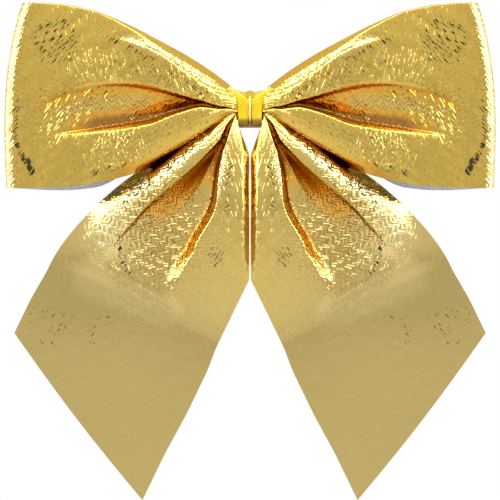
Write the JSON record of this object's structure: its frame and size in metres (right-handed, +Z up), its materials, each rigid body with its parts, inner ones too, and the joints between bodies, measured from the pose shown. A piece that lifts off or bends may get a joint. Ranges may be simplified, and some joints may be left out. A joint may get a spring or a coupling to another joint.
{
  "type": "gift bow",
  "caption": "Ready-made gift bow of gold foil ribbon: pleated flattened loops above slant-cut tails, gathered at the knot by a wire-cored film tie with bendable legs.",
  "frame": {"origin": "behind the knot, at the end of the twist where the two legs of the tie part and close round what the bow is fastened to", "axes": "+X to the right seen from the front, +Y to the back, +Z up; the front faces -Y"},
  "size_m": [0.1002, 0.0172, 0.1017],
  "materials": {
    "ribbon": "gold foil face with an embossed herringbone, pale reverse",
    "film": "glossy metallised yellow gold",
    "wire": "plain soft steel"
  },
  "bodies": {
    "knot": {"gathered_waist": "ribbon", "tie_band_film": "film", "tie_band_wire": "wire", "tie_strand_a": "film", "tie_strand_b": "film", "left_tail_top": "ribbon", "right_tail_top": "ribbon"},
    "loop_left": {"left_loop": "ribbon"},
    "loop_right": {"right_loop": "ribbon"},
    "tail_end_left": {"left_tail_end": "ribbon"},
    "tail_end_right": {"right_tail_end": "ribbon"},
    "leg_left": {"left_leg_film": "film", "left_leg_wire": "wire"},
    "leg_right": {"right_leg_film": "film", "right_leg_wire": "wire"}
  },
  "joints": [
    {"name": "left_loop_flex", "type": "hinge", "parent": "knot", "child": "loop_left", "pos_m": [-0.0022, -0.0076, 0], "axis": [0, 0, -1], "range_deg": [-8, 22], "stiffness_Nm_per_rad": 0.003},
    {"name": "right_loop_flex", "type": "hinge", "parent": "knot", "child": "loop_right", "pos_m": [0.0022, -0.0076, 0], "axis": [0, 0, 1], "range_deg": [-8, 22], "stiffness_Nm_per_rad": 0.003},
    {"name": "left_tail_flex", "type": "hinge", "parent": "knot", "child": "tail_end_left", "pos_m": [-0.02362, -0.0098, -0.03967], "axis": [-0.9003, 0, 0.4352], "range_deg": [-45, 60], "stiffness_Nm_per_rad": 0.0003},
    {"name": "right_tail_flex", "type": "hinge", "parent": "knot", "child": "tail_end_right", "pos_m": [0.02362, -0.0098, -0.03967], "axis": [-0.9003, 0, -0.4352], "range_deg": [-45, 60], "stiffness_Nm_per_rad": 0.0003},
    {"name": "left_leg_bend", "type": "hinge", "parent": "knot", "child": "leg_left", "pos_m": [-0.001, 0, 0], "axis": [0.866, 0, -0.5], "range_deg": [0, 60]},
    {"name": "right_leg_bend", "type": "hinge", "parent": "knot", "child": "leg_right", "pos_m": [0.001, 0, 0], "axis": [0.866, 0, 0.5], "range_deg": [0, 60]}
  ]
}
